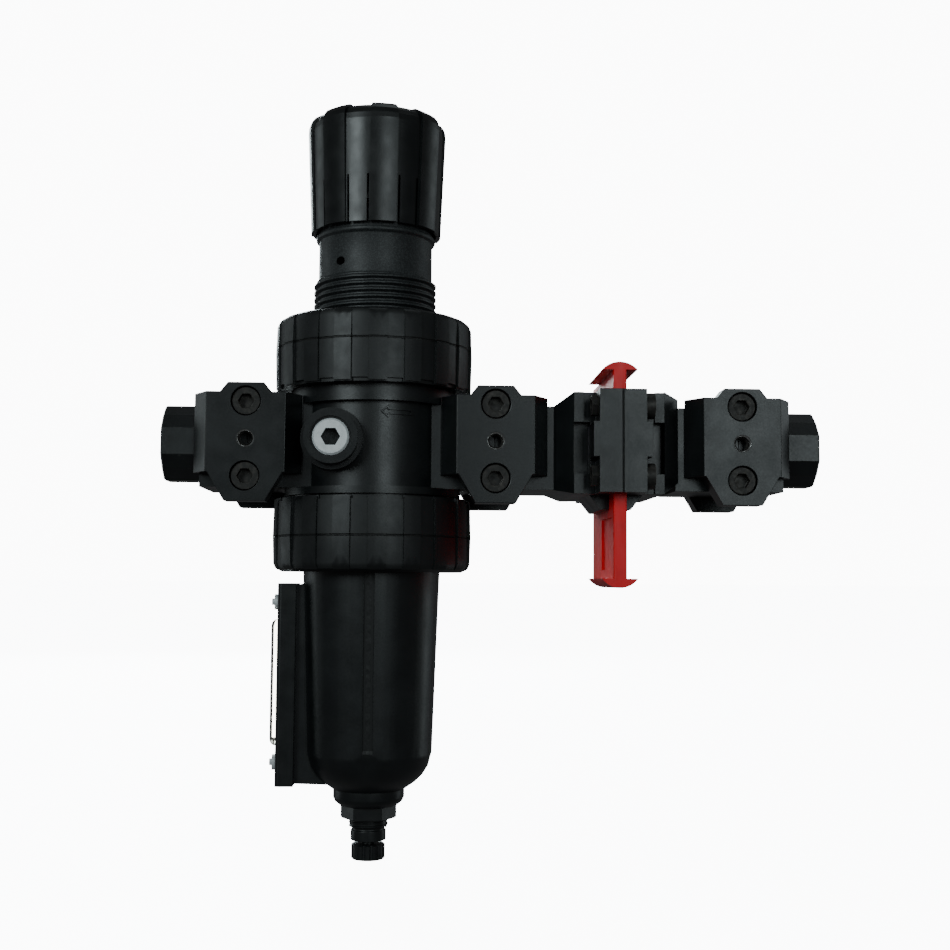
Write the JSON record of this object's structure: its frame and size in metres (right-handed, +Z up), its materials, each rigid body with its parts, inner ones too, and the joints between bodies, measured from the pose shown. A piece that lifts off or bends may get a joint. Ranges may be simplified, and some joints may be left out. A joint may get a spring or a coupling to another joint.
{
  "type": "compressed air filter regulator with shut-off valve",
  "caption": "Modular compressed-air filter regulator with ribbed rings, pressure knob and sight-glass bowl, clamped to a red slide shut-off valve, with pipe adapters and a gauge.",
  "frame": {"origin": "the middle of the threaded wall of the middle clamp's mounting hole, on the hole's axis", "axes": "+Z up towards the pressure knob, +X along the pipe towards the air inlet, -Y out of the clamps' mounting faces, +Y towards the gauge dial"},
  "size_m": [0.2452, 0.1142, 0.2802],
  "materials": {
    "black_metal": "satin",
    "bonnet_nylon": "grained",
    "ring_nylon": "fine grained",
    "knob_plastic": "semi-gloss",
    "slide_plastic": "fine grained",
    "frame_plastic": "satin",
    "white_plastic": "satin",
    "steel": "brushed",
    "black_steel": "black oxide",
    "chrome": "polished",
    "brass": "machined",
    "aluminium": "machined",
    "rubber": "matte",
    "element": "sintered",
    "sight_lens": "clear, yellowed",
    "gauge_glass": "clear",
    "dial_white": "printed",
    "pointer_black": "matte"
  },
  "bodies": {
    "unit": {"regulator_body": "black_metal", "bonnet": "bonnet_nylon", "upper_clamp_ring": "ring_nylon", "lower_clamp_ring": "ring_nylon", "diaphragm": "rubber", "slip_ring": "white_plastic", "regulating_spring": "steel", "thrust_washer": "white_plastic", "valve_seat": "brass", "valve_guide": "white_plastic", "valve_spring": "steel", "air_deflector": "frame_plastic", "filter_element": "element", "element_retainer": "frame_plastic", "bowl": "black_metal", "bowl_seal": "rubber", "sight_glass_frame": "frame_plastic", "sight_glass": "sight_lens", "sight_glass_gasket": "rubber", "sight_glass_screws": "chrome", "drain_body": "frame_plastic", "drain_nut": "frame_plastic", "drain_seal": "rubber", "gauge_port_plug": "chrome", "gauge_socket": "brass", "gauge_case": "black_steel", "gauge_bezel": "black_steel", "gauge_window": "gauge_glass", "gauge_dial": "dial_white", "bourdon_tube": "brass", "gauge_movement": "brass", "outlet_clamp_front": "black_metal", "outlet_clamp_rear": "black_metal", "middle_clamp_front": "black_metal", "middle_clamp_rear": "black_metal", "inlet_clamp_front": "black_metal", "inlet_clamp_rear": "black_metal", "clamp_screws": "black_steel", "joint_seals": "rubber", "outlet_adapter": "black_metal", "inlet_adapter": "black_metal", "shutoff_body_outlet": "black_metal", "shutoff_body_inlet": "black_metal", "slide_seals": "rubber", "shutoff_screws": "black_steel", "shutoff_nuts": "black_steel"},
    "adjuster": {"adjusting_screw": "steel", "knob_hub": "brass", "retaining_clip": "black_steel"},
    "knob": {"knob": "knob_plastic"},
    "spring_nut": {"spring_nut": "brass"},
    "diaphragm_plate": {"diaphragm_plate": "aluminium", "diaphragm_washer": "steel"},
    "valve_poppet": {"valve_poppet": "brass"},
    "shutoff_slide": {"shutoff_slide": "slide_plastic"},
    "gauge_pointer": {"gauge_pointer": "pointer_black"},
    "drain_stem": {"drain_stem": "frame_plastic"},
    "drain_knob": {"drain_knob": "frame_plastic"}
  },
  "joints": [
    {"name": "knob_turn", "type": "hinge", "parent": "unit", "child": "adjuster", "pos_m": [-0.045, 0.0236, 0.09], "axis": [0, 0, -1], "range_deg": [0, 2160]},
    {"name": "knob_pull", "type": "slide", "parent": "adjuster", "child": "knob", "axis": [0, 0, 1], "range_m": [0, 0.004]},
    {"name": "nut_travel", "type": "slide", "parent": "unit", "child": "spring_nut", "axis": [0, 0, -1], "range_m": [0, 0.009], "deforming": ["regulating_spring"]},
    {"name": "diaphragm_stroke", "type": "slide", "parent": "unit", "child": "diaphragm_plate", "axis": [0, 0, -1], "range_m": [0, 0.002], "deforming": ["diaphragm"]},
    {"name": "valve_stroke", "type": "slide", "parent": "unit", "child": "valve_poppet", "axis": [0, 0, -1], "range_m": [0, 0.002], "stiffness_N_per_m": 600, "springref_m": -0.002, "deforming": ["valve_spring"]},
    {"name": "slide_shut", "type": "slide", "parent": "unit", "child": "shutoff_slide", "axis": [0, 0, 1], "range_m": [0, 0.0224]},
    {"name": "gauge_pointer_turn", "type": "hinge", "parent": "unit", "child": "gauge_pointer", "pos_m": [-0.059, 0.0936, 0], "axis": [0, -1, 0], "range_deg": [0, 270], "stiffness_Nm_per_rad": 0.0002},
    {"name": "drain_lift", "type": "slide", "parent": "unit", "child": "drain_stem", "axis": [0, 0, -1], "range_m": [0, 0.0015]},
    {"name": "drain_turn", "type": "hinge", "parent": "drain_stem", "child": "drain_knob", "pos_m": [-0.045, 0.0236, -0.15], "axis": [0, 0, -1], "range_deg": [0, 360]}
  ],
  "couplings": [
    {"joint": "nut_travel", "follows": "knob_turn", "m_per_rad": 0.00023873},
    {"joint": "valve_stroke", "follows": "diaphragm_stroke", "ratio": 1},
    {"joint": "drain_turn", "follows": "drain_lift", "rad_per_m": 4188.8}
  ]
}
